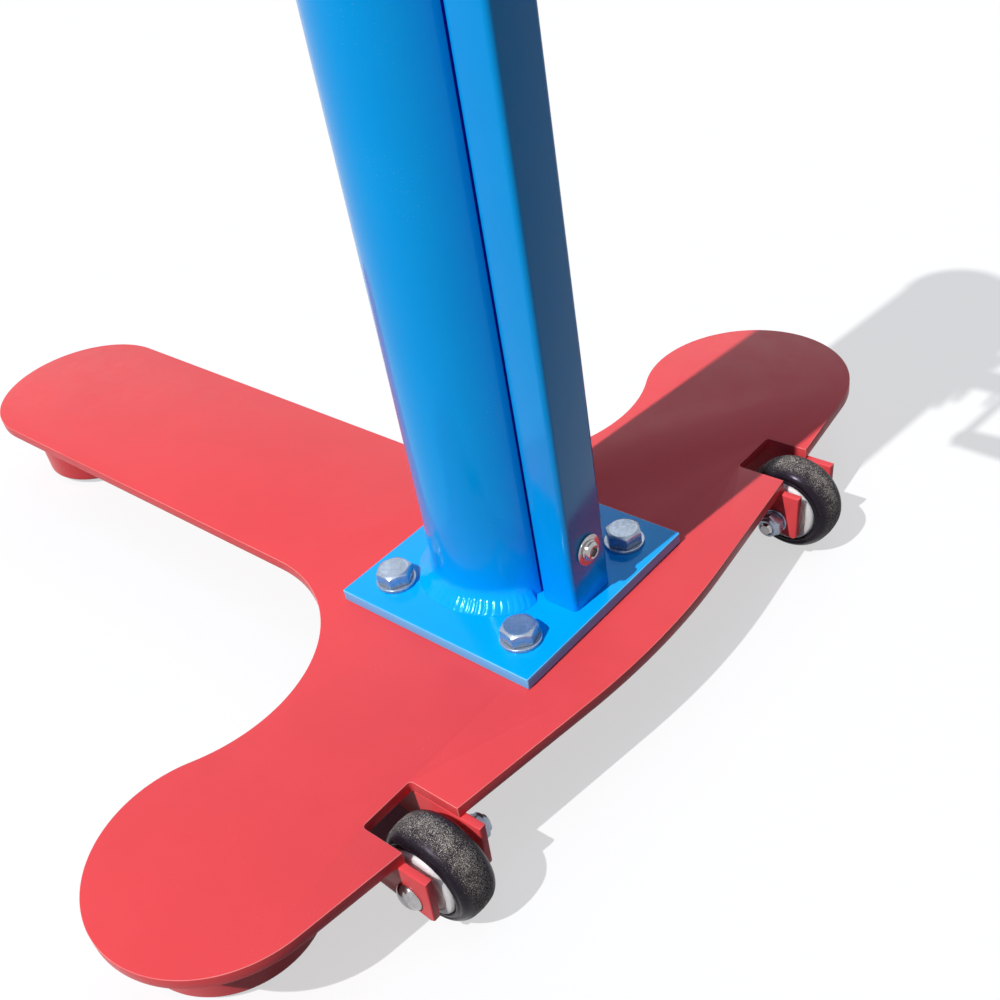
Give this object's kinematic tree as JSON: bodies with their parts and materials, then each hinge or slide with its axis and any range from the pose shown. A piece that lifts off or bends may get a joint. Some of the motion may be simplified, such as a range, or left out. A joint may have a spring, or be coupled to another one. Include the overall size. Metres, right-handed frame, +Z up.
{
  "type": "portable net post stand",
  "caption": "Freestanding post stand for a portable court net: anchor-shaped steel base on wheels, bolted post, rope sheave and ratchet winch.",
  "frame": {"origin": "on the floor under the middle of the stand's outline, halfway between the arm's tip and the crank grip's end", "axes": "+Z up along the post, +X towards the wheels and the winch, the long arm along -X, the cross-bar along Y"},
  "size_m": [0.8672, 0.77, 0.9135],
  "materials": {
    "red_powder_coat": "red powder coat, semi-gloss, slight orange peel",
    "blue_powder_coat": "bright blue powder coat, glossy",
    "zinc_plated_steel": "bright zinc plate",
    "stainless_steel": "plain stainless steel",
    "tyre_rubber": "moulded black rubber, scuffed on the crown",
    "foot_rubber": "matt black rubber sheet",
    "white_nylon": "moulded white nylon",
    "black_grip": "moulded black plastic, satin"
  },
  "bodies": {
    "frame": {"base_plate": "red_powder_coat", "foot_left": "red_powder_coat", "foot_right": "red_powder_coat", "foot_arm": "red_powder_coat", "sole_left": "foot_rubber", "sole_right": "foot_rubber", "sole_arm": "foot_rubber", "ear_left_outer": "red_powder_coat", "ear_left_inner": "red_powder_coat", "ear_right_outer": "red_powder_coat", "ear_right_inner": "red_powder_coat", "axle_bolt_left": "stainless_steel", "axle_bolt_right": "stainless_steel", "nut_washer_left": "zinc_plated_steel", "nut_washer_right": "zinc_plated_steel", "lock_nut_left": "zinc_plated_steel", "lock_nut_right": "zinc_plated_steel", "spacer_left_outer": "zinc_plated_steel", "spacer_left_inner": "zinc_plated_steel", "spacer_right_outer": "zinc_plated_steel", "spacer_right_inner": "zinc_plated_steel", "flange_plate": "blue_powder_coat", "flange_bolt_1": "zinc_plated_steel", "flange_bolt_2": "zinc_plated_steel", "flange_bolt_3": "zinc_plated_steel", "flange_bolt_4": "zinc_plated_steel", "flange_washer_1": "zinc_plated_steel", "flange_washer_2": "zinc_plated_steel", "flange_washer_3": "zinc_plated_steel", "flange_washer_4": "zinc_plated_steel", "flange_nut_1": "zinc_plated_steel", "flange_nut_2": "zinc_plated_steel", "flange_nut_3": "zinc_plated_steel", "flange_nut_4": "zinc_plated_steel", "main_post": "blue_powder_coat", "post_weld": "blue_powder_coat", "side_tube": "blue_powder_coat", "button_washer": "stainless_steel", "button_bolt": "stainless_steel", "head_plate": "blue_powder_coat", "pulley_cheek_left": "blue_powder_coat", "pulley_cheek_right": "blue_powder_coat", "sheave_bolt": "zinc_plated_steel", "sheave_nut": "zinc_plated_steel", "winch_plate": "blue_powder_coat", "winch_spindle": "zinc_plated_steel", "spindle_nut": "zinc_plated_steel", "pawl_pin": "zinc_plated_steel", "pawl_stop": "zinc_plated_steel"},
    "wheel_left": {"tyre_left": "tyre_rubber", "hub_left": "white_nylon"},
    "wheel_right": {"tyre_right": "tyre_rubber", "hub_right": "white_nylon"},
    "sheave": {"rope_sheave": "white_nylon"},
    "winch": {"rope_drum": "zinc_plated_steel", "crank_arm": "zinc_plated_steel", "grip_pin": "zinc_plated_steel"},
    "grip": {"crank_grip": "black_grip"},
    "pawl": {"winch_pawl": "zinc_plated_steel"}
  },
  "joints": [
    {"name": "wheel_left_spin", "type": "hinge", "parent": "frame", "child": "wheel_left", "pos_m": [0.3264, -0.212, 0.04], "axis": [0, 1, 0], "continuous": true},
    {"name": "wheel_right_spin", "type": "hinge", "parent": "frame", "child": "wheel_right", "pos_m": [0.3264, 0.212, 0.04], "axis": [0, 1, 0], "continuous": true},
    {"name": "sheave_spin", "type": "hinge", "parent": "frame", "child": "sheave", "pos_m": [0.2854, 0, 0.8835], "axis": [0, 1, 0], "continuous": true},
    {"name": "winch_spin", "type": "hinge", "parent": "frame", "child": "winch", "pos_m": [0.3005, 0, 0.664], "axis": [1, 0, 0], "continuous": true},
    {"name": "grip_spin", "type": "hinge", "parent": "winch", "child": "grip", "pos_m": [0.3368, 0, 0.539], "axis": [1, 0, 0], "continuous": true},
    {"name": "pawl_flip", "type": "hinge", "parent": "frame", "child": "pawl", "pos_m": [0.3005, -0.012, 0.72], "axis": [1, 0, 0], "range_deg": [-150, 0]}
  ]
}
